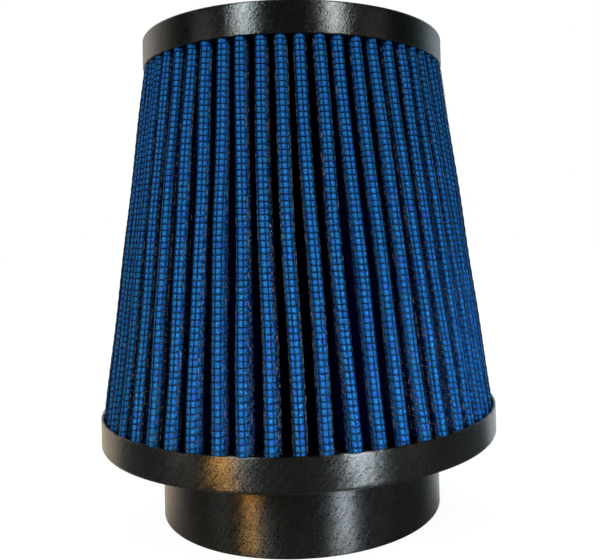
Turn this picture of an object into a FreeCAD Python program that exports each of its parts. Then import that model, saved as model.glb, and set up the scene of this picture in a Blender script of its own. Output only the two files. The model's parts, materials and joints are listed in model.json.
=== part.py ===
"""Conical clamp-on engine air filter: a pleated cotton pack cast between two black moulded ends.

Millimetres, +Z up along the filter's axis. The origin is the centre of the inlet neck's open end.
"""
import FreeCAD, Part
import math
import os

from FreeCAD import Vector

# Inlet neck, which slips over a 3 inch tube and is squeezed by a band
NECK_BORE = 76.2
NECK_WALL = 6.9
NECK_LENGTH = 24.0
NECK_EDGE_RADIUS = 0.8
NECK_ROOT_RADIUS = 1.5

# Base ring, cast in one piece with the neck
BASE_DIAMETER = 127.0
BASE_HEIGHT = 9.4
BASE_FLOOR = 2.2
BASE_EDGE_RADIUS = 1.3
BASE_LIP_HEIGHT = 1.0
BASE_LIP_WIDTH = 0.6
BASE_LIP_FOOT = 0.4
BASE_LIP_RADIUS = 0.25
BELL_RADIUS = 3.0

# Top cap, a solid disc with a shallow round panel in its face
CAP_DIAMETER = 98.4
CAP_HEIGHT = 9.2
CAP_CROWN = 2.7
CAP_EDGE_RADIUS = 0.9
PANEL_DIAMETER = 80.0
PANEL_DEPTH = 1.2
PANEL_EDGE_RADIUS = 0.5

# Pleated pack: wire mesh, cotton gauze and wire mesh folded together
PLEAT_SPAN = 108.7
PLEAT_DEPTH = 16.0
PLEAT_TWIST = -3.9
FRONT_CREST_ANGLE = -90.6
MESH_THICKNESS = 0.45
GAUZE_THICKNESS = 0.7
CREST_BEND = 0.25
VALLEY_BEND = 0.1
FOLD_CLEARANCE = 0.32
BASE_CREST_INSET = 0.75
CAP_CREST_INSET = 0.2
CREST_FACETS = 6
VALLEY_FACETS = 3
POINT_TOLERANCE = 0.001

# Heights along the axis
BASE_TOP = NECK_LENGTH + BASE_HEIGHT
FILL_LEVEL = BASE_TOP - BASE_LIP_HEIGHT
CAP_BOTTOM = BASE_TOP + PLEAT_SPAN
CAP_TOP = CAP_BOTTOM + CAP_HEIGHT
PACK_BOTTOM = NECK_LENGTH + BASE_FLOOR
PACK_TOP = CAP_TOP - PANEL_DEPTH - CAP_CROWN

# Radii that several pieces share
BORE_RADIUS = NECK_BORE / 2
NECK_RADIUS = BORE_RADIUS + NECK_WALL
BASE_RADIUS = BASE_DIAMETER / 2
CAP_RADIUS = CAP_DIAMETER / 2
PANEL_RADIUS = PANEL_DIAMETER / 2

# Folded sheet: offsets are measured outwards from its middle surface
PACK_THICKNESS = GAUZE_THICKNESS + 2 * MESH_THICKNESS
PACK_FACE = PACK_THICKNESS / 2
GAUZE_FACE = GAUZE_THICKNESS / 2
CREST_RADIUS = CREST_BEND + PACK_THICKNESS
VALLEY_RADIUS = VALLEY_BEND + PACK_THICKNESS


def crest_tip(z):
    """Radius of the pleats' outer crests at a height: a straight taper from the base to the cap."""
    at_base = BASE_RADIUS - BASE_CREST_INSET
    at_cap = CAP_RADIUS - CAP_CREST_INSET
    return at_base + (at_cap - at_base) * (z - BASE_TOP) / PLEAT_SPAN


def valley_centre_radius(z):
    """Radius of the circle that the inner folds' centres lie on."""
    return crest_tip(z) - PLEAT_DEPTH + VALLEY_RADIUS


def pleat_count():
    """As many pleats as fit side by side at the narrow end, where the inner folds crowd together."""
    room = 2 * math.pi * valley_centre_radius(PACK_TOP)
    return int(room / (2 * VALLEY_RADIUS + FOLD_CLEARANCE))


PLEAT_COUNT = pleat_count()
HALF_PITCH = math.pi / PLEAT_COUNT


def polar(radius, angle, z):
    return Vector(radius * math.cos(angle), radius * math.sin(angle), z)


def flank_turn(z):
    """Half the angle that a crest bends through before its straight flanks begin.

    A flank is the line that touches a crest circle and the next valley circle on opposite sides.
    """
    crest = polar(crest_tip(z) - CREST_RADIUS, 0, z)
    valley = polar(valley_centre_radius(z), HALF_PITCH, z)
    span = valley - crest
    radii = CREST_RADIUS + VALLEY_RADIUS - PACK_THICKNESS
    return math.atan2(span.y, span.x) - math.acos(radii / span.Length)


def fold(centre, radius, middle, half_turn, facets):
    """Points along one round fold, from one side of its middle direction to the other."""
    points = []
    for step in range(facets + 1):
        angle = middle + half_turn * (2 * step / facets - 1)
        points.append(centre + polar(radius, angle, 0))
    return points


def pleat_outline(z, offset):
    """Section of the folded sheet at a height, offset outwards from its middle surface."""
    turn = flank_turn(z)
    twist = math.radians(PLEAT_TWIST) * (z - BASE_TOP) / PLEAT_SPAN
    first_crest = math.radians(FRONT_CREST_ANGLE) + twist
    crest_radius = CREST_RADIUS - PACK_FACE + offset
    valley_radius = VALLEY_RADIUS - PACK_FACE - offset
    points = []
    for pleat in range(PLEAT_COUNT):
        crest_angle = first_crest + 2 * HALF_PITCH * pleat
        valley_angle = crest_angle + HALF_PITCH
        crest = polar(crest_tip(z) - CREST_RADIUS, crest_angle, z)
        valley = polar(valley_centre_radius(z), valley_angle, z)
        points += fold(crest, crest_radius, crest_angle, turn, CREST_FACETS)
        points += fold(valley, valley_radius, valley_angle + math.pi, HALF_PITCH - turn, VALLEY_FACETS)
    return points


def band(first, second, count):
    """Flat facets between two rings of points, split from each first point to the next second one."""
    facets = []
    for point in range(count):
        after = (point + 1) % count
        facets.append((first + point, first + after, second + after))
        facets.append((first + point, second + after, second + point))
    return facets


def turned_over(facets):
    return [facet[::-1] for facet in facets]


def folded_layer(outer_offset, inner_offset):
    """Closed ring of folded sheet between two offsets, as flat facets from the base to the cap."""
    sections = [
        pleat_outline(PACK_BOTTOM, outer_offset),
        pleat_outline(PACK_TOP, outer_offset),
        pleat_outline(PACK_BOTTOM, inner_offset),
        pleat_outline(PACK_TOP, inner_offset),
    ]
    count = len(sections[0])
    outer_low, outer_high, inner_low, inner_high = (index * count for index in range(len(sections)))
    facets = band(outer_low, outer_high, count)
    facets += band(outer_high, inner_high, count)
    facets += turned_over(band(inner_low, inner_high, count))
    facets += turned_over(band(outer_low, inner_low, count))
    points = [point for section in sections for point in section]
    faces = Part.Shape()
    faces.makeShapeFromMesh((points, facets), POINT_TOLERANCE, False)
    return Part.Solid(Part.Shell(faces.Faces))


def turned_solid(corners):
    """Solid of revolution about Z from corners given as radius, height and corner radius."""
    edges = []
    starts = []
    ends = []
    for index, (radius, height, rounding) in enumerate(corners):
        corner = Vector(radius, 0, height)
        before = Vector(corners[index - 1][0], 0, corners[index - 1][1])
        after_corner = corners[(index + 1) % len(corners)]
        after = Vector(after_corner[0], 0, after_corner[1])
        back = (before - corner).normalize()
        ahead = (after - corner).normalize()
        half_angle = back.getAngle(ahead) / 2
        setback = rounding / math.tan(half_angle)
        starts.append(corner + back * setback)
        ends.append(corner + ahead * setback)
        if rounding:
            depth = rounding / math.sin(half_angle) - rounding
            middle = corner + (back + ahead).normalize() * depth
            edges.append(Part.Arc(starts[-1], middle, ends[-1]).toShape())
    for index, start in enumerate(starts):
        edges.append(Part.LineSegment(ends[index - 1], start).toShape())
    outline = Part.Wire(Part.__sortEdges__(edges))
    return Part.Face(outline).revolve(Vector(), Vector(0, 0, 1), 360)


def base_flange(pack):
    """Neck and base ring in one casting, with the pack's lower end set in it."""
    lip_radius = BASE_RADIUS - BASE_LIP_WIDTH
    blank = turned_solid([
        (BORE_RADIUS, 0, NECK_EDGE_RADIUS),
        (NECK_RADIUS, 0, NECK_EDGE_RADIUS),
        (NECK_RADIUS, NECK_LENGTH, NECK_ROOT_RADIUS),
        (BASE_RADIUS, NECK_LENGTH, BASE_EDGE_RADIUS),
        (BASE_RADIUS, BASE_TOP, BASE_LIP_RADIUS),
        (lip_radius, BASE_TOP, BASE_LIP_RADIUS),
        (lip_radius - BASE_LIP_FOOT, FILL_LEVEL, 0),
        (BORE_RADIUS, FILL_LEVEL, BELL_RADIUS),
    ])
    return blank.cut(pack)


def top_cap(pack):
    """Solid disc over the pack's upper end, with a shallow round panel in its face."""
    panel_floor = CAP_TOP - PANEL_DEPTH
    blank = turned_solid([
        (0, CAP_BOTTOM, 0),
        (CAP_RADIUS, CAP_BOTTOM, 0),
        (CAP_RADIUS, CAP_TOP, CAP_EDGE_RADIUS),
        (PANEL_RADIUS, CAP_TOP, PANEL_EDGE_RADIUS),
        (PANEL_RADIUS, panel_floor, PANEL_EDGE_RADIUS),
        (0, panel_floor, 0),
    ])
    return blank.cut(pack)


def main():
    pack = folded_layer(PACK_FACE, -PACK_FACE)
    pieces = {
        "base_flange": base_flange(pack),
        "top_cap": top_cap(pack),
        "outer_wire_mesh": folded_layer(PACK_FACE, GAUZE_FACE),
        "cotton_gauze": folded_layer(GAUZE_FACE, -GAUZE_FACE),
        "inner_wire_mesh": folded_layer(-GAUZE_FACE, -PACK_FACE),
    }
    os.makedirs("parts", exist_ok=True)
    for name, shape in pieces.items():
        shape.exportStep(f"parts/{name}.step")
        print(name, len(shape.Solids), "solid", len(shape.Faces), "faces")
    print("pleats", PLEAT_COUNT, "height", CAP_TOP)


main()
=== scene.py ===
# %% [markdown]
# # A conical engine air filter
#
# The real filter is a folded pack of blue oiled cotton gauze between two sheets of black woven wire.
# Its ends are cast into a black urethane cap and a black urethane base ring with an inlet neck.
# The solid model is loaded first, so every surface made here sits on it and takes its sizes from it.

# %% Load the frame
import json
import math

import bpy
import numpy as np
from mathutils import Matrix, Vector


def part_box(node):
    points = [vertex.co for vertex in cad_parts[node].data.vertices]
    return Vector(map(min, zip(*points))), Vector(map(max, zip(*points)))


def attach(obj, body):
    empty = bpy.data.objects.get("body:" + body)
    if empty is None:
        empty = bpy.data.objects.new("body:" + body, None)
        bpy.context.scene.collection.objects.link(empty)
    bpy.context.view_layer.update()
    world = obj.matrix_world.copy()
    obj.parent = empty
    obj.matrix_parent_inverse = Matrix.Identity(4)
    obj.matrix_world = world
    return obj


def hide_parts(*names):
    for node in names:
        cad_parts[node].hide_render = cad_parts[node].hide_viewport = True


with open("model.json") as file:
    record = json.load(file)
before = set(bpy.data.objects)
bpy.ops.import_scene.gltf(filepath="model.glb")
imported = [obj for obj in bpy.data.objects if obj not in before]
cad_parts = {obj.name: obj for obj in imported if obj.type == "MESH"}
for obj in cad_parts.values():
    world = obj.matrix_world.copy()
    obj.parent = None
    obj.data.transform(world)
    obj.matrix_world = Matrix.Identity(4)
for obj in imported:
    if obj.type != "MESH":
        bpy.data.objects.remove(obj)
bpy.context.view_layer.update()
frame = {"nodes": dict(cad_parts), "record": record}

MM = 0.001
INCH = 25.4 * MM

# %% [markdown]
# ## Sizes from the solids
#
# The castings' radii and heights are read from the solids and from the part's mounts.
# The neck's length and the lip's small sizes repeat the solid model's own values.

# %% Sizes from the solids


def node_points(name):
    """A solid's corner points as an array."""
    mesh = frame["nodes"][name].data
    points = np.empty(len(mesh.vertices) * 3, np.float32)
    mesh.vertices.foreach_get("co", points)
    return points.reshape(-1, 3).astype(float)


mounts = {mount["name"]: mount for mount in frame["record"]["mounts"]}
BORE_RADIUS = mounts["inlet"]["dims"]["r_mm"] * MM
NECK_RADIUS = mounts["band_seat"]["dims"]["r_mm"] * MM
NECK_LENGTH = 24.0 * MM
BASE_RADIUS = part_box("base_flange")[1].x
BASE_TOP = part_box("base_flange")[1].z
LIP_HEIGHT = 1.0 * MM
LIP_WIDTH = 0.6 * MM
LIP_INSIDE = BASE_RADIUS - LIP_WIDTH
FILL_LEVEL = BASE_TOP - LIP_HEIGHT
CAP_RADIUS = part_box("top_cap")[1].x
CAP_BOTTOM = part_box("top_cap")[0].z
CAP_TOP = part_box("top_cap")[1].z
print("base and cap radius, mm:", round(BASE_RADIUS / MM, 2), round(CAP_RADIUS / MM, 2))

# %% [markdown]
# ## The view
#
# The photograph was taken close to the filter with a wide lens, a little below its middle.
# A near camera makes the base look wider than the cap and bends the rims into deep ellipses.
# The place and lens were worked out from the rims' outlines, and the small offset is the photo's crop.

# %% Camera
CAMERA_PLACE = (0.0, -236.0 * MM, 87.5 * MM)
CAMERA_YAW = math.radians(3.386)
CAMERA_RISE = math.radians(1.175)
CAMERA_ROLL = math.radians(-1.404)
CLIP_START = 5 * MM
PHOTO_WIDTH_PX = 600
FOCAL_LENGTH_PX = 699.6
OPTICAL_OFFSET_PX = (38.75, 59.4)
SENSOR_WIDTH = 36.0


def camera_matrix(yaw, rise, roll, place):
    """Camera axes in the world: look along +Y, turn by yaw, tip up by rise, roll about the view line."""
    ahead = np.array([math.sin(yaw), math.cos(yaw), 0.0])
    level = np.array([math.cos(yaw), -math.sin(yaw), 0.0])
    view = math.cos(rise) * ahead + math.sin(rise) * np.array([0.0, 0.0, 1.0])
    upright = np.cross(level, view)
    right = math.cos(roll) * level + math.sin(roll) * upright
    up = math.cos(roll) * upright - math.sin(roll) * level
    matrix = np.eye(4)
    matrix[:3] = np.column_stack([right, up, -view, place])
    return Matrix(matrix.tolist())


camera = bpy.data.objects.new("camera", bpy.data.cameras.new("camera"))
camera.data.sensor_width = SENSOR_WIDTH
camera.data.lens = SENSOR_WIDTH * FOCAL_LENGTH_PX / PHOTO_WIDTH_PX
camera.data.shift_x = -OPTICAL_OFFSET_PX[0] / PHOTO_WIDTH_PX
camera.data.shift_y = -OPTICAL_OFFSET_PX[1] / PHOTO_WIDTH_PX
camera.data.clip_start = CLIP_START
camera.matrix_world = camera_matrix(CAMERA_YAW, CAMERA_RISE, CAMERA_ROLL, CAMERA_PLACE)
bpy.context.scene.collection.objects.link(camera)
bpy.context.scene.camera = camera
bpy.context.scene.view_settings.view_transform = "Standard"
print("lens, mm:", round(camera.data.lens, 1))

# %% [markdown]
# ## Helpers for surfaces
#
# Every piece is a grid of points, so one function turns points and faces into a mesh object.
# The other numbers the corners of a grid's faces, and wraps them where the surface closes on itself.

# %% Mesh helpers


def add_piece(name, points, faces, material, uvs=None):
    """Makes a smooth mesh object from point and face arrays, with one UV pair for each face corner."""
    mesh = bpy.data.meshes.new(name)
    mesh.from_pydata(points.reshape(-1, 3), [], faces)
    if uvs is not None:
        layer = mesh.uv_layers.new(name="cells")
        layer.data.foreach_set("uv", np.ascontiguousarray(uvs, np.float32).ravel())
    mesh.shade_smooth()
    mesh.materials.append(material)
    piece = bpy.data.objects.new(name, mesh)
    bpy.context.scene.collection.objects.link(piece)
    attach(piece, "root")
    print(name, "faces:", len(faces))
    return piece


def grid_faces(rows, columns, wrap_rows=False, wrap_columns=False):
    """Corner numbers of the quads of a rows by columns grid, each row joined to the next."""
    row = np.arange(rows if wrap_rows else rows - 1)[:, None]
    column = np.arange(columns if wrap_columns else columns - 1)[None, :]
    next_row = (row + 1) % rows
    next_column = (column + 1) % columns
    corners = [
        row * columns + column,
        row * columns + next_column,
        next_row * columns + next_column,
        next_row * columns + column,
    ]
    return np.stack(np.broadcast_arrays(*corners), axis=-1).reshape(-1, 4)


# %% [markdown]
# ## Helpers for finishes
#
# A finish here is a small graph of nodes that ends in one glossy shader.
# A few short functions keep the graphs readable: each adds one kind of node and gives its result.

# %% Material helpers


def new_finish(name):
    """A material with a Principled shader, and its node tree."""
    material = bpy.data.materials.new(name)
    material.use_nodes = True
    tree = material.node_tree
    return material, tree, tree.nodes["Principled BSDF"]


def add_node(tree, kind, settings=None, **inputs):
    """Adds a node, sets its options, and fills its inputs with values or with links from other sockets.

    An input is given by its name, or by its number as i0, i1 and so on.
    """
    node = tree.nodes.new(kind)
    for key, value in (settings or {}).items():
        setattr(node, key, value)
    for key, value in inputs.items():
        socket = node.inputs[int(key[1:])] if key[1:].isdigit() else node.inputs[key]
        if isinstance(value, bpy.types.NodeSocket):
            tree.links.new(value, socket)
        else:
            socket.default_value = value
    return node


def calc(tree, operation, first, second=0.0, third=0.0):
    """One arithmetic step on sockets or numbers."""
    settings = {"operation": operation}
    return add_node(tree, "ShaderNodeMath", settings, i0=first, i1=second, i2=third).outputs[0]


def ramp(tree, value, low, high, to_low=0.0, to_high=1.0):
    """Value rescaled smoothly from one range to another."""
    settings = {"interpolation_type": "SMOOTHSTEP"}
    node = add_node(tree, "ShaderNodeMapRange", settings, i0=value, i1=low, i2=high, i3=to_low, i4=to_high)
    return node.outputs[0]


def noise(tree, place, scale, detail=2.0):
    """Soft blotches from 0 to 1, finer for a larger scale."""
    return add_node(tree, "ShaderNodeTexNoise", Vector=place, Scale=scale, Detail=detail).outputs[0]


def stretched(tree, vector, factors):
    """A vector with each coordinate multiplied by a factor."""
    settings = {"operation": "MULTIPLY"}
    return add_node(tree, "ShaderNodeVectorMath", settings, i0=vector, i1=factors).outputs[0]


def distance(tree, vector):
    """Length of a vector."""
    return add_node(tree, "ShaderNodeVectorMath", {"operation": "LENGTH"}, i0=vector).outputs["Value"]


def blend_colours(tree, share, first, second):
    """The first colour where the share is 0, and the second where it is 1."""
    node = add_node(tree, "ShaderNodeMix", {"data_type": "RGBA"}, i0=share)
    for socket, colour in ((node.inputs[6], first), (node.inputs[7], second)):
        if isinstance(colour, bpy.types.NodeSocket):
            tree.links.new(colour, socket)
        else:
            socket.default_value = (*colour, 1.0)
    return node.outputs[2]


# %% [markdown]
# ## Black cast urethane
#
# The cap and base are poured into open moulds, so they are black and fairly shiny with a fine orange peel.
# Highlights break up into bright specks and slanting strokes: noise in the gloss and a very slight bump.
# They are tall and narrow, as on a part from a turned mould, so the gloss is stretched along the axis.
# The resin between the pleats lies in their shade, so its gloss is cut there as painted shade.

# %% Urethane finish
URETHANE_COLOUR = (0.0026, 0.0026, 0.0023, 1.0)
PEBBLES_PER_METRE = 1300.0
SPECKS_PER_METRE = 2600.0
SPECK_DETAIL = 1.0
SPECK_SHARE = 0.8
STROKES_PER_METRE = 2000.0
STROKE_SHARE = 0.7
STROKE_LEAN = 14.0
STROKE_STRETCH = (1.0, 1.0, 0.12)
PEEL_STRENGTH = 0.24
PEEL_DEPTH = 0.12 * MM
GRAIN_RANGE = (1.0, 1.5)
ROUGHNESS_RANGE = (0.26, 0.36)
MARK_STROKE_SHARE = 0.6
MARK_RANGE = (0.70, 1.0)
GLOSS_RANGE = (0.40, 0.89)
GLOSS_STRETCH = 0.96
GLOSS_TURN = 0.25
ACROSS_AXIS = (1.0, 1.0, 0.0)
SLOT_SHADE_RADIUS = LIP_INSIDE - 0.5 * MM
SLOT_SHADE_HEIGHT = FILL_LEVEL - 0.4 * MM
SLOT_SHADE_REACH = 1.0 * MM
SLOT_SHADE_SHARE = 0.9


def urethane_finish():
    """Grain is pebbles plus specks plus strokes. It sets the bump and roughness, and marks set the gloss."""
    material, tree, shader = new_finish("black_urethane")
    place = add_node(tree, "ShaderNodeTexCoord").outputs["Object"]
    height = add_node(tree, "ShaderNodeSeparateXYZ", Vector=place).outputs[2]
    pebbles = noise(tree, place, PEBBLES_PER_METRE)
    specks = noise(tree, place, SPECKS_PER_METRE, SPECK_DETAIL)
    lean = calc(tree, "MULTIPLY", height, -STROKE_LEAN)
    helix = add_node(tree, "ShaderNodeVectorRotate", {"rotation_type": "Z_AXIS"}, Vector=place, Angle=lean)
    strokes = noise(tree, stretched(tree, helix.outputs[0], STROKE_STRETCH), STROKES_PER_METRE)
    grain = calc(tree, "MULTIPLY_ADD", specks, SPECK_SHARE, pebbles)
    grain = calc(tree, "MULTIPLY_ADD", strokes, STROKE_SHARE, grain)
    bump = add_node(tree, "ShaderNodeBump", Height=grain, Strength=PEEL_STRENGTH, Distance=PEEL_DEPTH)
    tree.links.new(bump.outputs[0], shader.inputs["Normal"])
    tangent = add_node(tree, "ShaderNodeTangent", {"direction_type": "RADIAL", "axis": "Z"})
    tree.links.new(tangent.outputs[0], shader.inputs["Tangent"])
    tree.links.new(ramp(tree, grain, *GRAIN_RANGE, *ROUGHNESS_RANGE), shader.inputs["Roughness"])
    # Painted shade: the gloss is cut on the resin fill between the pleats.
    inside = calc(tree, "LESS_THAN", distance(tree, stretched(tree, place, ACROSS_AXIS)), SLOT_SHADE_RADIUS)
    level_with_fill = calc(tree, "COMPARE", height, SLOT_SHADE_HEIGHT, SLOT_SHADE_REACH)
    slot_shade = calc(tree, "MULTIPLY", inside, level_with_fill)
    unshaded = calc(tree, "MULTIPLY_ADD", slot_shade, -SLOT_SHADE_SHARE, 1.0)
    marks = calc(tree, "MULTIPLY_ADD", strokes, MARK_STROKE_SHARE, specks)
    sparkle = ramp(tree, marks, *MARK_RANGE, *GLOSS_RANGE)
    tree.links.new(calc(tree, "MULTIPLY", sparkle, unshaded), shader.inputs["Specular IOR Level"])
    shader.inputs["Base Color"].default_value = URETHANE_COLOUR
    shader.inputs["Anisotropic"].default_value = GLOSS_STRETCH
    shader.inputs["Anisotropic Rotation"].default_value = GLOSS_TURN
    return material


urethane = urethane_finish()
print("urethane nodes:", len(urethane.node_tree.nodes))

# %% [markdown]
# ## Turned castings
#
# Both castings are turned shapes: an outline of radius and height carried round the axis.
# Corners of the outline are rounded with short arcs, so that rims catch the light.

# %% Turned shapes
RIM_STEPS = 456
CORNER_STEPS = 6
LONGEST_RUN = 4.0 * MM


def rounded_outline(corners):
    """Outline points from corners given as radius, height and rounding.

    An arc touches both sides of its corner, so it starts and ends at the rounding over the tangent of
    half the corner's angle.
    """
    corners = np.array(corners, float)
    points = []
    for before, corner, after in zip(np.roll(corners, 1, 0), corners, np.roll(corners, -1, 0)):
        back = (before - corner)[:2] / np.linalg.norm((before - corner)[:2])
        ahead = (after - corner)[:2] / np.linalg.norm((after - corner)[:2])
        if corner[2] == 0:
            points.append(corner[None, :2])
            continue
        half_angle = math.acos(np.clip(back @ ahead, -1, 1)) / 2
        middle = (back + ahead) / np.linalg.norm(back + ahead)
        centre = corner[:2] + middle * corner[2] / math.sin(half_angle)
        start = corner[:2] + back * corner[2] / math.tan(half_angle) - centre
        end = corner[:2] + ahead * corner[2] / math.tan(half_angle) - centre
        share = np.linspace(0, 1, CORNER_STEPS)[:, None]
        arc = (1 - share) * start + share * end
        points.append(centre + arc * corner[2] / np.linalg.norm(arc, axis=1)[:, None])
    return np.concatenate(points)


def refine(outline, longest):
    """Adds points along the outline so that no straight run is longer than the given length."""
    gaps = np.linalg.norm(np.roll(outline, -1, 0) - outline, axis=1)
    steps = np.maximum(1, np.ceil(gaps / longest)).astype(int)
    start = np.repeat(np.arange(len(outline)), steps)
    first = np.concatenate([[0], np.cumsum(steps)[:-1]])
    share = ((np.arange(len(start)) - first[start]) / steps[start])[:, None]
    return outline[start] * (1 - share) + np.roll(outline, -1, 0)[start] * share


def turned(outline, turns):
    """Grid of points: each outline point (radius, height) carried round the axis by the given angles."""
    radius = outline[:, 0][:, None]
    height = outline[:, 1][:, None]
    return np.stack([radius * np.cos(turns), radius * np.sin(turns), height + 0 * turns], axis=-1)


# %% [markdown]
# ## How the pack is folded
#
# One sheet goes out round a crest, down a straight flank, round a valley and up the next flank.
# A flank is the line that touches the crest circle and the valley circle on opposite sides.
# One function gives any point of the sheet, so the gauze and each wire lie on the same folds.
# Real pleats are never quite even. They stand widest apart at the front left, most of all near the base.
# They are closest on the far side, and each crest wanders a little by chance.

# %% The folded sheet
PLEATS = 57
FRONT_CREST = math.radians(-90.6)
TWIST = math.radians(-3.9)
CREST_MID = 1.05 * MM
VALLEY_MID = 0.9 * MM
PACK_FACE = 0.8 * MM
SPREAD_AT_BASE = math.radians(4.5)
SPREAD_AT_CAP = math.radians(2.1)
WIDEST = math.radians(-45)
CREST_WANDER = math.radians(0.25)
WANDER_LENGTH = 90 * MM
CREST_SWELL = 0.10 * MM
SWELL_LENGTH = 42 * MM

rng = np.random.default_rng(57)
wander_phase = rng.uniform(0, 2 * math.pi, PLEATS)
swell_phase = rng.uniform(0, 2 * math.pi, PLEATS)
cell_phase = rng.uniform(0, 1, PLEATS)
cell_drift = rng.uniform(-1, 1, PLEATS)
row_phase = rng.uniform(-1, 1, PLEATS)

mesh_points = node_points("outer_wire_mesh")
mesh_radius = np.hypot(mesh_points[:, 0], mesh_points[:, 1])
PACK_LOW = mesh_points[:, 2].min()
PACK_HIGH = mesh_points[:, 2].max()
TIP_LOW = mesh_radius[mesh_points[:, 2] < PACK_LOW + MM].max()
TIP_HIGH = mesh_radius[mesh_points[:, 2] > PACK_HIGH - MM].max()
fold_points = node_points("inner_wire_mesh")
fold_radius = np.hypot(fold_points[:, 0], fold_points[:, 1])
PLEAT_DEPTH = TIP_LOW - fold_radius[fold_points[:, 2] < PACK_LOW + MM].min()
print("pleat depth, mm:", round(PLEAT_DEPTH / MM, 2))


def crest_angle(pleat, z):
    """Direction of a crest from the axis.

    It is the pleat's share of a full turn, plus a twist that grows with height, plus a spread that opens
    the pleats on one side and closes them on the other, plus a slow sine wave with a phase of its own.
    """
    even = 2 * math.pi * pleat / PLEATS
    rise = (z - BASE_TOP) / (CAP_BOTTOM - BASE_TOP)
    spread = SPREAD_AT_BASE + (SPREAD_AT_CAP - SPREAD_AT_BASE) * rise
    opened = spread * (np.sin(even - WIDEST) + math.sin(WIDEST))
    wander = CREST_WANDER * np.sin(2 * math.pi * z / WANDER_LENGTH + wander_phase[pleat % PLEATS])
    return FRONT_CREST + even + TWIST * rise + opened + wander


def pleat_shape(pleat, side, z):
    """Crest centre's radius, the angle a crest bends through to its flank, half pitch and flank length."""
    tip = TIP_LOW + (TIP_HIGH - TIP_LOW) * (z - PACK_LOW) / (PACK_HIGH - PACK_LOW)
    half = np.abs(crest_angle(pleat + side, z) - crest_angle(pleat, z)) / 2
    swell = CREST_SWELL * np.sin(2 * math.pi * z / SWELL_LENGTH + swell_phase[pleat % PLEATS])
    crest = tip - CREST_MID - PACK_FACE + swell
    valley = tip - PLEAT_DEPTH + VALLEY_MID + PACK_FACE
    across = valley * np.sin(half)
    down = valley * np.cos(half) - crest
    length = np.hypot(across, down)
    turn = np.arctan2(across, down) - np.arccos((CREST_MID + VALLEY_MID) / length)
    return crest, turn, half, np.sqrt(length**2 - (CREST_MID + VALLEY_MID) ** 2)


def pleat_point(pleat, side, bend, run, curl, z, lift):
    """Point reached by bending round the crest, running down the flank and curling round the valley.

    bend and curl are angles, run is a length, and lift is the distance out from the sheet's middle.
    """
    crest = pleat_shape(pleat, side, z)[0]
    valley_arm = VALLEY_MID - lift
    out = crest + (CREST_MID + lift) * np.cos(bend) - run * np.sin(bend)
    out = out + valley_arm * (np.cos(bend) - np.cos(bend - curl))
    over = (CREST_MID + lift) * np.sin(bend) + run * np.cos(bend)
    over = side * (over + valley_arm * (np.sin(bend) - np.sin(bend - curl)))
    angle = crest_angle(pleat, z)
    x = out * np.cos(angle) - over * np.sin(angle)
    y = out * np.sin(angle) + over * np.cos(angle)
    return np.stack(np.broadcast_arrays(x, y, z), axis=-1)


# %% [markdown]
# ## Wire mesh
#
# The mesh is woven wire, fifteen wires to the inch both ways.
# Each wire goes over one crossing and under the next.
# The wires that show, over each crest and down both flanks, are real wires with three sides.

# %% Wire lattice
WIRE_RADIUS = 0.125 * MM
WIRE_CRIMP = 0.07 * MM
WIRE_LEVEL = PACK_FACE - WIRE_RADIUS - WIRE_CRIMP
CELL = INCH / 15
CELL_DRIFT = 0.6
WIRES_PER_CREST = 7
ROW_SHIFT = 0.18 * MM
ROW_LOW = FILL_LEVEL - CELL
ROWS = int((CAP_BOTTOM + CELL - ROW_LOW) / CELL)
SECTION = np.array([0.0, 2 * math.pi / 3, 4 * math.pi / 3])
print("rows of the mesh:", ROWS)


def row_height(pleat, row):
    """Height of a wire that goes round: even rows, raised or lowered a little from pleat to pleat."""
    return ROW_LOW + CELL * row + ROW_SHIFT * row_phase[pleat % PLEATS]


def column_place(pleat, column, z):
    """Distance round the crest of a wire that goes along, which drifts a little with height."""
    rise = (z - BASE_TOP) / (CAP_BOTTOM - BASE_TOP) - 0.5
    drift = CELL_DRIFT * cell_drift[pleat] * rise
    return CELL * (column - WIRES_PER_CREST / 2 + cell_phase[pleat] + drift)


def on_sheet(pleat, place, z, lift):
    """Point at a distance round the crest: first round its bend, then down the flank."""
    side = np.where(place < 0, -1, 1)
    turn = pleat_shape(pleat, side, z)[1]
    bend = np.minimum(np.abs(place) / (CREST_MID + WIRE_LEVEL), turn)
    run = np.maximum(np.abs(place) - turn * (CREST_MID + WIRE_LEVEL), 0)
    return pleat_point(pleat, side, bend, run, 0.0, z, lift)


# %% [markdown]
# ## Wire finish
#
# The wires have a thin dark coat, and the blue tint in their gloss is a painted reflection of the gauze
# beside it.
# Along the crests' sides the wires are painted a dull grey in patches, a painted glint for the light they
# catch there at a grazing angle.

# %% Wire finish
WIRE_DARK = (0.0006, 0.003, 0.012)
WIRE_LIGHT = (0.003, 0.008, 0.024)
WIRE_PAINTED_GLINT = (0.10, 0.092, 0.085)
WIRE_SHEEN = (0.35, 0.55, 1.0, 1.0)
WIRE_GLOSS = 0.10
WIRE_PATCHES_PER_METRE = 900.0
COAT_PATCHES = (0.3, 0.7)
COAT_ROUGHNESS = (0.28, 0.45)
GLINT_DEPTHS = (1.7 * MM, 2.3 * MM)
GLINT_PATCHES = (0.45, 0.6)


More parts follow.
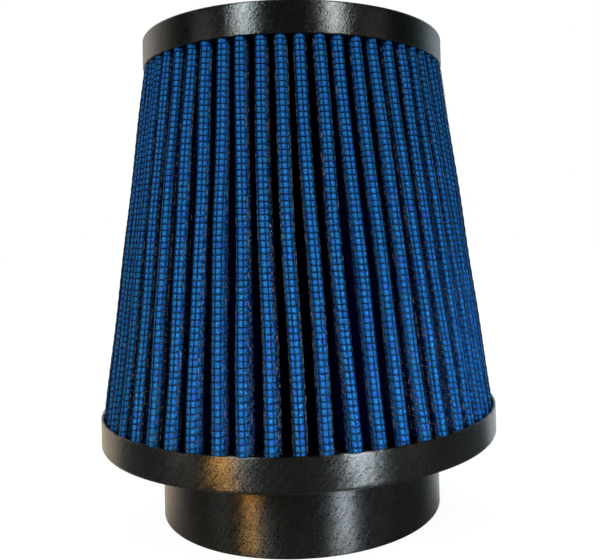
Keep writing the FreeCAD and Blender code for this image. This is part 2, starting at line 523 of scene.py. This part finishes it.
def wire_finish():
    """Patches blend two dark coats, and a painted grey glint shows where a patch is strong and its depth is
    on the crest's side.
    """
    material, tree, shader = new_finish("coated_wire")
    place = add_node(tree, "ShaderNodeTexCoord").outputs["Object"]
    patches = noise(tree, place, WIRE_PATCHES_PER_METRE)
    colour = blend_colours(tree, patches, WIRE_DARK, WIRE_LIGHT)
    depth = add_node(tree, "ShaderNodeAttribute", {"attribute_name": "fold_depth"}).outputs["Fac"]
    # Painted glint: grey on the wires along the crests' sides, where they catch the light at a grazing
    # angle.
    glint = calc(tree, "MULTIPLY", ramp(tree, depth, *GLINT_DEPTHS), ramp(tree, patches, *GLINT_PATCHES))
    colour = blend_colours(tree, glint, colour, WIRE_PAINTED_GLINT)
    tree.links.new(colour, shader.inputs["Base Color"])
    tree.links.new(ramp(tree, patches, *COAT_PATCHES, *COAT_ROUGHNESS), shader.inputs["Roughness"])
    shader.inputs["Specular IOR Level"].default_value = WIRE_GLOSS
    # Painted reflection: the gloss is tinted blue for the gauze beside the wires.
    shader.inputs["Specular Tint"].default_value = WIRE_SHEEN
    return material


coated_wire = wire_finish()
print("wire nodes:", len(coated_wire.node_tree.nodes))

# %% [markdown]
# ## Wires along the pleats
#
# Seven wires run up each pleat: the middle ones over the crest and the others down its two flanks.
# Each is a three-sided tube carried up the pleat, with one ring of corners at every crossing.
# So coarse a tube is enough, because a wire is less than one pixel wide in the picture.

# %% Wires along the pleats


def wire_faces(wires, steps):
    """Faces of three-sided wires, with both ends closed by triangles, as two arrays."""
    tube = grid_faces(steps, 3, wrap_columns=True)
    first = np.arange(wires)[:, None, None] * steps * 3
    sides = (tube[None] + first).reshape(-1, 4)
    ends = np.array([[2, 1, 0], [steps * 3 - 3, steps * 3 - 2, steps * 3 - 1]])
    return sides, (ends[None] + first).reshape(-1, 3)


def keep_depths(piece, depths):
    """Stores each point's distance from the middle of its crest, for the finishes to use."""
    attribute = piece.data.attributes.new("fold_depth", "FLOAT", "POINT")
    attribute.data.foreach_set("value", np.ascontiguousarray(depths, np.float32).ravel())


def add_wires(name, points, node, depths=0.0):
    """Wires from an array of wire, step, corner and coordinate, in place of a solid mesh sheet."""
    wires, steps = points.shape[:2]
    sides, ends = wire_faces(wires, steps)
    piece = add_piece(name, points, sides.tolist() + ends.tolist(), coated_wire)
    keep_depths(piece, np.broadcast_to(np.abs(depths), (PLEATS, wires // PLEATS, steps, 3)))
    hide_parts(node)


pleat = np.arange(PLEATS)[:, None, None, None]
column = np.arange(WIRES_PER_CREST)[None, :, None, None]
row = np.arange(ROWS)[None, None, :, None]
height = row_height(pleat, row)
over_under = WIRE_CRIMP * np.where((row + column) % 2, 1.0, -1.0)
place = column_place(pleat, column, height)
along = on_sheet(
    pleat,
    place + WIRE_RADIUS * np.sin(SECTION),
    height,
    WIRE_LEVEL + over_under + WIRE_RADIUS * np.cos(SECTION),
)
add_wires("mesh_wires_along", along.reshape(-1, ROWS, 3, 3), "outer_wire_mesh", place)

# %% [markdown]
# ## Wires round the pleats
#
# The other set of wires goes over each crest from flank to flank, once for every row of the weave.
# Where one wire rises over a crossing the next row passes under it, so odd and even rows are opposite.
# The two kinds of row are made as two pieces, which keeps each piece light.

# %% Wires round the pleats
STEPS_PER_CELL = 2
round_steps = (WIRES_PER_CREST - 1) * STEPS_PER_CELL + 1
for start, name in enumerate(("mesh_wires_round_even", "mesh_wires_round_odd")):
    row = np.arange(start, ROWS, 2)[None, :, None, None]
    cell = (np.arange(round_steps) / STEPS_PER_CELL)[None, None, :, None]
    middle = row_height(pleat, row)
    place = column_place(pleat, cell, middle)
    over_under = -WIRE_CRIMP * np.cos(math.pi * cell) * (1 if start else -1)
    round_pleat = on_sheet(
        pleat,
        place,
        middle - WIRE_RADIUS * np.sin(SECTION),
        WIRE_LEVEL + over_under + WIRE_RADIUS * np.cos(SECTION),
    )
    add_wires(name, round_pleat.reshape(-1, round_steps, 3, 3), "outer_wire_mesh", place)

# %% [markdown]
# ## Inner wire mesh
#
# The same mesh lines the clean side and keeps the pleats open when the engine draws air through them.
# Only the inner folds show through the neck, so these wires cover each inner fold and its flanks' ends.

# %% Inner wires along the folds
INNER_WIRES = 5
INNER_DRIFT = 0.5


def on_inner_sheet(fold, place, z, lift):
    """Point at a distance round an inner fold: first round its bend, then out along the flank."""
    side = np.where(place < 0, 1, -1)
    pleat = fold + np.where(place < 0, 0, 1)
    _, turn, half, flank = pleat_shape(pleat, side, z)
    bend_radius = VALLEY_MID + WIRE_LEVEL
    curl = np.maximum(turn - half - np.abs(place) / bend_radius, 0)
    run = flank - np.maximum(np.abs(place) - bend_radius * (turn - half), 0)
    return pleat_point(pleat, side, turn, run, curl, z, -lift)


def inner_place(fold, column):
    """Distance round an inner fold of a wire that goes along, shifted a little from fold to fold."""
    return CELL * (column - (INNER_WIRES - 1) / 2 + INNER_DRIFT * cell_drift[fold])


column = np.arange(INNER_WIRES)[None, :, None, None]
row = np.arange(ROWS)[None, None, :, None]
over_under = WIRE_CRIMP * np.where((row + column) % 2, 1.0, -1.0)
inner_along = on_inner_sheet(
    pleat,
    inner_place(pleat, column) - WIRE_RADIUS * np.sin(SECTION),
    row_height(pleat, row),
    WIRE_LEVEL + over_under + WIRE_RADIUS * np.cos(SECTION),
)
add_wires("inner_wires_along", inner_along.reshape(-1, ROWS, 3, 3), "inner_wire_mesh")

# %% [markdown]
# ## Inner wires round the folds
#
# These cross the wires along each inner fold, one for every row, and weave over and under in the same way.

# %% Inner wires round the folds
inner_steps = (INNER_WIRES - 1) * STEPS_PER_CELL + 1
row = np.arange(ROWS)[None, :, None, None]
cell = (np.arange(inner_steps) / STEPS_PER_CELL)[None, None, :, None]
over_under = WIRE_CRIMP * np.cos(math.pi * cell) * np.where(row % 2, -1.0, 1.0)
inner_round = on_inner_sheet(
    pleat,
    inner_place(pleat, cell),
    row_height(pleat, row) + WIRE_RADIUS * np.sin(SECTION),
    WIRE_LEVEL + over_under + WIRE_RADIUS * np.cos(SECTION),
)
add_wires("inner_wires_round", inner_round.reshape(-1, inner_steps, 3, 3), "inner_wire_mesh")

# %% [markdown]
# ## Cotton gauze
#
# The gauze is several plies of blue oiled cotton that swell a little through each cell of the mesh.
# Its UV map counts the mesh's cells, so the swelling in the finish follows the wires.
# Little light reaches the valleys of the real pack, so the colour darkens with depth in the fold.

# %% Gauze finish
GAUZE_BRIGHT = (0.0045, 0.096, 0.29)
GAUZE_THREADS_AND_CELL_SHADE = (0.002, 0.042, 0.155)
GAUZE_TEAL = (0.006, 0.085, 0.20)
GAUZE_VIOLET = (0.010, 0.055, 0.29)
GAUZE_SHADED = (0.006, 0.026, 0.12)
GAUZE_GLOSS = 0.05
GAUZE_ROUGHNESS = 0.5
THREADS_PER_CELL = 7.0
THREAD_SHADE = 0.5
THREAD_RELIEF = 0.35
TINTS_PER_CELL = 0.7
TEAL_TINTS = (0.50, 0.68)
VIOLET_TINTS = (0.50, 0.34)
LIT_PILLOW = (0.35, 1.0)
PILLOW_STRENGTH = 0.8
PILLOW_DEPTH = 0.25 * MM
SHADE_DEPTHS = (1.9 * MM, 5.0 * MM)


def cell_wave(tree, count):
    """Absolute sine of pi times a cell count: 0 at each wire and 1 in the middle of each cell."""
    return calc(tree, "ABSOLUTE", calc(tree, "SINE", calc(tree, "MULTIPLY", count, math.pi)))


def gauze_finish():
    """A pillow in each cell is the product of two waves: painted light on top, painted shade at the wires,
    with threads over it.
    """
    material, tree, shader = new_finish("oiled_gauze")
    cells = add_node(tree, "ShaderNodeUVMap", {"uv_map": "cells"}).outputs[0]
    split = add_node(tree, "ShaderNodeSeparateXYZ", Vector=cells)
    pillow = calc(tree, "MULTIPLY", cell_wave(tree, split.outputs[0]), cell_wave(tree, split.outputs[1]))
    threads = noise(tree, cells, THREADS_PER_CELL)
    tint = noise(tree, cells, TINTS_PER_CELL)
    colour = blend_colours(tree, ramp(tree, tint, *TEAL_TINTS), GAUZE_BRIGHT, GAUZE_TEAL)
    colour = blend_colours(tree, ramp(tree, tint, *VIOLET_TINTS), colour, GAUZE_VIOLET)
    shade = calc(tree, "MULTIPLY_ADD", threads, THREAD_SHADE, pillow)
    # Painted shade: each cell's colour darkens towards the wires, together with the threads' own dark spots.
    colour = blend_colours(tree, ramp(tree, shade, *LIT_PILLOW), GAUZE_THREADS_AND_CELL_SHADE, colour)
    depth = add_node(tree, "ShaderNodeAttribute", {"attribute_name": "fold_depth"}).outputs["Fac"]
    lit = ramp(tree, depth, *SHADE_DEPTHS, 1.0, 0.0)
    colour = blend_colours(tree, lit, GAUZE_SHADED, colour)
    tree.links.new(colour, shader.inputs["Base Color"])
    tree.links.new(calc(tree, "MULTIPLY", lit, GAUZE_GLOSS), shader.inputs["Specular IOR Level"])
    relief = calc(tree, "MULTIPLY_ADD", threads, THREAD_RELIEF, pillow)
    bump = add_node(tree, "ShaderNodeBump", Height=relief, Strength=PILLOW_STRENGTH, Distance=PILLOW_DEPTH)
    tree.links.new(bump.outputs[0], shader.inputs["Normal"])
    shader.inputs["Roughness"].default_value = GAUZE_ROUGHNESS
    return material


oiled_gauze = gauze_finish()
print("gauze nodes:", len(oiled_gauze.node_tree.nodes))

# %% [markdown]
# ## The gauze sheet
#
# The real strip is folded by machine, closed to a ring and cast into the two ends.
# Here its outer and inner faces are two grids, joined at the top and bottom into one closed skin.
# The outer face swells a little towards the wires, and each point keeps its depth in the fold.

# %% Folded gauze
GAUZE_FACE = 0.35 * MM
GAUZE_SWELL = 0.13 * MM
CREST_STEPS = 5
FLANK_STEPS = 3
VALLEY_STEPS = 2
OUTER_ROWS = 28
INNER_ROWS = 10
CELLS_APART = 40
half_shares = np.concatenate([
    np.arange(0, CREST_STEPS) / CREST_STEPS,
    1 + np.arange(0, FLANK_STEPS) / FLANK_STEPS,
    2 + np.arange(0, VALLEY_STEPS + 1) / VALLEY_STEPS,
])
shares = np.concatenate([-half_shares[:0:-1], half_shares])


def folded_grid(rows_z, lift):
    """Grid of row, pleat and share of the fold: places, cell counts as UV, and depths.

    A share goes from 0 to 1 round the crest's bend, to 2 down the flank and to 3 round the valley.
    """
    pleat = np.arange(PLEATS)[None, :, None]
    z = rows_z[:, None, None]
    side = np.where(shares < 0, -1, 1)[None, None, :]
    reach = np.abs(shares)[None, None, :]
    _, turn, half, flank = pleat_shape(pleat, side, z)
    bend = np.clip(reach, 0, 1) * turn
    run = np.clip(reach - 1, 0, 1) * flank
    curl = np.clip(reach - 2, 0, 1) * (turn - half)
    points = pleat_point(pleat, side, bend, run, curl, z, lift)
    round_crest = side * (bend * (CREST_MID + WIRE_LEVEL) + run + curl * (VALLEY_MID - WIRE_LEVEL))
    u = (round_crest - column_place(pleat, 0, z)) / CELL + CELLS_APART * pleat
    v = (z - row_height(pleat, 0)) / CELL + 0 * u
    return points, np.stack([u, v], axis=-1), np.abs(round_crest)


outer_rows = np.linspace(PACK_LOW, PACK_HIGH, OUTER_ROWS)
inner_rows = np.linspace(PACK_HIGH, PACK_LOW, INNER_ROWS)
outer_points, outer_uv, outer_depth = folded_grid(outer_rows, GAUZE_FACE + GAUZE_SWELL)
inner_points, inner_uv, inner_depth = folded_grid(inner_rows, -GAUZE_FACE)
gauze_points = np.concatenate([outer_points, inner_points])[:, :, :-1]
gauze_faces = grid_faces(OUTER_ROWS + INNER_ROWS, PLEATS * (len(shares) - 1), True, True)
below = np.concatenate([outer_uv, inner_uv])
above = np.roll(below, -1, 0)
corner_uv = np.stack([below[:, :, :-1], below[:, :, 1:], above[:, :, 1:], above[:, :, :-1]], axis=3)
gauze = add_piece("folded_gauze", gauze_points, gauze_faces, oiled_gauze, corner_uv)
keep_depths(gauze, np.concatenate([outer_depth, inner_depth])[:, :, :-1])
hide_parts("cotton_gauze")
strip = np.diff(outer_points[OUTER_ROWS // 2].reshape(-1, 3), axis=0)
print("gauze strip, m:", round(np.linalg.norm(strip, axis=1).sum(), 3), "by", round(PACK_HIGH - PACK_LOW, 4))

# %% [markdown]
# ## Base ring and neck
#
# The base ring and the inlet neck are one casting.
# The resin settles level round the folded pack and leaves a thin lip against the mould's wall.
# The lip's edge waves very slightly, as the sum of two sines of different counts.

# %% Base casting
NECK_EDGE = 0.8 * MM
NECK_ROOT = 1.5 * MM
BASE_EDGE = 1.3 * MM
LIP_EDGE = 0.25 * MM
LIP_FOOT = 0.4 * MM
BELL_RADIUS = 3.0 * MM
LIP_MARGIN = 0.3 * MM
LIP_WAVE = 0.16 * MM
LIP_WAVES = (43, 71)
turns = np.linspace(0, 2 * math.pi, RIM_STEPS, endpoint=False)[None, :]
base_corners = [
    (BORE_RADIUS, 0, NECK_EDGE),
    (NECK_RADIUS, 0, NECK_EDGE),
    (NECK_RADIUS, NECK_LENGTH, NECK_ROOT),
    (BASE_RADIUS, NECK_LENGTH, BASE_EDGE),
    (BASE_RADIUS, BASE_TOP, LIP_EDGE),
    (LIP_INSIDE, BASE_TOP, LIP_EDGE),
    (LIP_INSIDE - LIP_FOOT, FILL_LEVEL, 0),
    (BORE_RADIUS, FILL_LEVEL, BELL_RADIUS),
]
base_outline = refine(rounded_outline(base_corners), LONGEST_RUN)
base_points = turned(base_outline, turns)
on_lip = base_outline[:, 0] > LIP_INSIDE - LIP_MARGIN
lip_share = on_lip * np.clip((base_outline[:, 1] - FILL_LEVEL) / LIP_HEIGHT, 0, 1)
lip_wave = (np.sin(LIP_WAVES[0] * turns) + np.sin(LIP_WAVES[1] * turns + 1)) / 2
base_points[:, :, 2] += LIP_WAVE * lip_share[:, None] * lip_wave
base_faces = grid_faces(len(base_outline), RIM_STEPS, True, True)
base = add_piece("base_casting", base_points, base_faces, urethane)
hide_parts("base_flange")

# %% [markdown]
# ## Top cap
#
# The cap is a solid disc with a shallow panel in its face.
# Resin hangs a little lower between the crests, so the lower edge is faintly scalloped.

# %% Cap casting
PANEL_RADIUS = 40.0 * MM
PANEL_FLOOR = CAP_TOP - 1.2 * MM
PANEL_EDGE = 0.5 * MM
CAP_EDGE = 0.9 * MM
CAP_LOW_EDGE = 0.2 * MM
SCALLOP = 0.12 * MM
SCALLOP_INSIDE = 0.93 * CAP_RADIUS
SCALLOP_OUTSIDE = 0.98 * CAP_RADIUS
SCALLOP_HEIGHT = 1.5 * MM


def closed_by_poles(rings, low, high):
    """Points and faces of a stack of rings, with the first and last closed to a point on the axis."""
    count, around = rings.shape[:2]
    points = np.concatenate([rings.reshape(-1, 3), [[0, 0, low], [0, 0, high]]])
    here = np.arange(around)
    after = (here + 1) % around
    last = (count - 1) * around
    low_fan = np.stack([after, here, here * 0 + count * around], axis=1)
    high_fan = np.stack([last + here, last + after, here * 0 + count * around + 1], axis=1)
    sides = grid_faces(count, around, wrap_columns=True)
    return points, sides.tolist() + low_fan.tolist() + high_fan.tolist()


cap_corners = [
    (0, CAP_BOTTOM, 0),
    (CAP_RADIUS, CAP_BOTTOM, CAP_LOW_EDGE),
    (CAP_RADIUS, CAP_TOP, CAP_EDGE),
    (PANEL_RADIUS, CAP_TOP, PANEL_EDGE),
    (PANEL_RADIUS, PANEL_FLOOR, PANEL_EDGE),
    (0, PANEL_FLOOR, 0),
]
cap_outline = refine(rounded_outline(cap_corners), LONGEST_RUN)
cap_outline = cap_outline[cap_outline[:, 0] > 0]
cap_rings = turned(cap_outline, turns)
crest_number = np.arange(-PLEATS, 2 * PLEATS)
crest_count = np.interp(turns, crest_angle(crest_number, CAP_BOTTOM), crest_number)
slot_share = 0.5 - 0.5 * np.cos(2 * math.pi * crest_count)
near_edge = np.clip((cap_outline[:, 0] - SCALLOP_INSIDE) / (SCALLOP_OUTSIDE - SCALLOP_INSIDE), 0, 1)
low_edge = np.clip((CAP_BOTTOM + SCALLOP_HEIGHT - cap_outline[:, 1]) / SCALLOP_HEIGHT, 0, 1)
cap_rings[:, :, 2] -= SCALLOP * (near_edge * low_edge)[:, None] * slot_share
cap = add_piece("cap_casting", *closed_by_poles(cap_rings, CAP_BOTTOM, PANEL_FLOOR), urethane)
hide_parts("top_cap")

# %% [markdown]
# ## Floor
#
# The filter stands on a pale floor in front of a white surround, as in a shop's picture.
# The floor is one large square that keeps the filter's shadow and glows a little towards the camera.
# Mirrored in the castings it is dark in front of the filter and bright behind it.
# From below it is clear, so that the neck's open end can be looked at.

# %% Floor
FLOOR_SIZE = 6.0
FLOOR_DROP = 0.02 * MM
FLOOR_GREY = (0.1, 0.1, 0.1, 1.0)
FLOOR_ROUGHNESS = 0.9
FLOOR_WARM = (1.0, 0.79, 0.55)
FLOOR_COOL = (0.90, 0.98, 1.0)
WHITE = (1.0, 1.0, 1.0)
GLOW_DISTANCES = (0.2, 1.2)
GLOW_LEVELS = (0.9, 1.0)
MIRROR_FAN = -0.45
MIRROR_SKEW = -0.10
MIRROR_EDGE = (-0.053, -0.015)
MIRROR_LEVEL = 0.88
TINT_REACH = 0.1


def floor_finish():
    """White towards the camera; in mirrors, bright where y less a share of x's size passes an edge."""
    material, tree, shader = new_finish("pale_floor")
    shader.inputs["Base Color"].default_value = FLOOR_GREY
    shader.inputs["Roughness"].default_value = FLOOR_ROUGHNESS
    place = add_node(tree, "ShaderNodeTexCoord").outputs["Object"]
    split = add_node(tree, "ShaderNodeSeparateXYZ", Vector=place)
    x = split.outputs[0]
    path = add_node(tree, "ShaderNodeLightPath")
    glow = ramp(tree, distance(tree, place), *GLOW_DISTANCES, *GLOW_LEVELS)
    seen = calc(tree, "MULTIPLY", path.outputs["Is Camera Ray"], glow)
    edge = calc(tree, "MULTIPLY_ADD", calc(tree, "ABSOLUTE", x), MIRROR_FAN, split.outputs[1])
    edge = calc(tree, "MULTIPLY_ADD", x, MIRROR_SKEW, edge)
    behind = ramp(tree, edge, *MIRROR_EDGE, 0.0, MIRROR_LEVEL)
    level = calc(tree, "MULTIPLY_ADD", path.outputs["Is Glossy Ray"], behind, seen)
    tint = blend_colours(tree, ramp(tree, x, -TINT_REACH, TINT_REACH), FLOOR_WARM, FLOOR_COOL)
    colour = blend_colours(tree, path.outputs["Is Camera Ray"], tint, WHITE)
    light = add_node(tree, "ShaderNodeEmission", Color=colour, Strength=level)
    both = add_node(tree, "ShaderNodeAddShader", i0=shader.outputs[0], i1=light.outputs[0])
    below = add_node(tree, "ShaderNodeNewGeometry").outputs["Backfacing"]
    clear = add_node(tree, "ShaderNodeBsdfTransparent")
    surface = add_node(tree, "ShaderNodeMixShader", i0=below, i1=both.outputs[0], i2=clear.outputs[0])
    tree.links.new(surface.outputs[0], tree.nodes["Material Output"].inputs["Surface"])
    return material


floor_corners = np.array([[-1, -1, 0], [1, -1, 0], [1, 1, 0], [-1, 1, 0]]) * FLOOR_SIZE / 2
floor_corners[:, 2] = -FLOOR_DROP
floor_mesh = bpy.data.meshes.new("floor")
floor_mesh.from_pydata(floor_corners, [], [(0, 1, 2, 3)])
floor_mesh.materials.append(floor_finish())
floor = bpy.data.objects.new("floor", floor_mesh)
bpy.context.scene.collection.objects.link(floor)
print("floor, m:", FLOOR_SIZE)

# %% [markdown]
# ## Surroundings
#
# The room behind the filter is white, and the black castings mirror it near their left and right edges.
# Its light is warmer on the left and cooler on the right, as the edges of the real castings are.
# The camera itself sees plain white.

# %% Surroundings
SKY_WARM = (1.0, 0.97, 0.86)
SKY_COOL = (0.72, 0.90, 1.0)
SKY_START = (0.20, 0.64)
SKY_LEVELS = (0.03, 0.95)
SKY_MIDDLE = (0.7, 1.0)
MIDDLE_LEVELS = (1.0, 0.5)
SKY_TINT_REACH = 0.3
world = bpy.data.worlds.new("surroundings")
world.use_nodes = True
bpy.context.scene.world = world
tree = world.node_tree
background = tree.nodes["Background"]
outward = add_node(tree, "ShaderNodeTexCoord").outputs["Generated"]
direction = add_node(tree, "ShaderNodeSeparateXYZ", Vector=outward)
rising = ramp(tree, direction.outputs[1], *SKY_START, *SKY_LEVELS)
behind = calc(tree, "MULTIPLY", rising, ramp(tree, direction.outputs[1], *SKY_MIDDLE, *MIDDLE_LEVELS))
side = ramp(tree, direction.outputs[0], -SKY_TINT_REACH, SKY_TINT_REACH)
tint = blend_colours(tree, side, SKY_WARM, SKY_COOL)
seen = add_node(tree, "ShaderNodeLightPath").outputs["Is Camera Ray"]
strength = add_node(tree, "ShaderNodeMix", {"data_type": "FLOAT"}, i0=seen, i2=behind, i3=1.0)
tree.links.new(strength.outputs[0], background.inputs["Strength"])
tree.links.new(blend_colours(tree, seen, tint, WHITE), background.inputs["Color"])
print("surroundings nodes:", len(tree.nodes))

# %% [markdown]
# ## Lamps
#
# Two tall boxes high in front give the upright bands on the cap and most of the light on the pleats.
# Two small low lamps, warm on the left and cool on the right, give the bands on the base and neck.
# A narrow spread keeps the low lamps off the cap, and weak boxes at the sides lift the darkest parts.
# A last box behind the filter lights its back for views from there.

# %% Soft boxes
LOW_DISTANCE = 0.53
LOW_HEIGHT = 0.03
LOW_SPREAD = math.radians(24)
FULL_SPREAD = math.radians(180)
BOX_DISTANCE = 0.8
HIGH_HEIGHT = 0.62
GOLD = (1.0, 0.44, 0.04)
SILVER = (0.78, 0.88, 1.0)
COOL_WHITE = (0.86, 0.98, 1.0)
GREEN_WHITE = (0.90, 1.0, 0.94)
WARM_WHITE = (1.0, 1.0, 0.97)
CREAM = (1.0, 1.0, 0.94)


def soft_box(name, azimuth, height, size, power, colour, away=BOX_DISTANCE, spread=FULL_SPREAD):
    """An area lamp at an angle in degrees round the filter from the camera's side, facing the axis."""
    lamp = bpy.data.lights.new(name, "AREA")
    lamp.shape = "RECTANGLE"
    lamp.size, lamp.size_y = size
    lamp.energy = power
    lamp.color = colour
    lamp.spread = spread
    holder = bpy.data.objects.new(name, lamp)
    holder.visible_camera = False
    turn = math.radians(azimuth)
    holder.location = (away * math.sin(turn), -away * math.cos(turn), height)
    holder.rotation_euler = (math.pi / 2, 0, turn)
    bpy.context.scene.collection.objects.link(holder)
    print(name, "watts:", power)


soft_box("left_low", -38.8, LOW_HEIGHT, (0.055, 0.06), 0.031, GOLD, LOW_DISTANCE, LOW_SPREAD)
soft_box("right_low", 29.8, LOW_HEIGHT, (0.11, 0.06), 0.059, SILVER, LOW_DISTANCE, LOW_SPREAD)
soft_box("left_high", -36, HIGH_HEIGHT, (0.14, 0.65), 9.0, COOL_WHITE)
soft_box("right_high", 30, HIGH_HEIGHT, (0.14, 0.65), 8.6, GREEN_WHITE)
soft_box("left_far", -64, 0.12, (0.22, 0.3), 0.4, WARM_WHITE)
soft_box("right_far", 58, 0.20, (0.30, 0.4), 0.25, CREAM)
soft_box("left_back", -104, 0.35, (0.17, 0.7), 0.1, WARM_WHITE)
soft_box("back_high", 180, HIGH_HEIGHT, (0.4, 0.65), 6.0, WHITE)
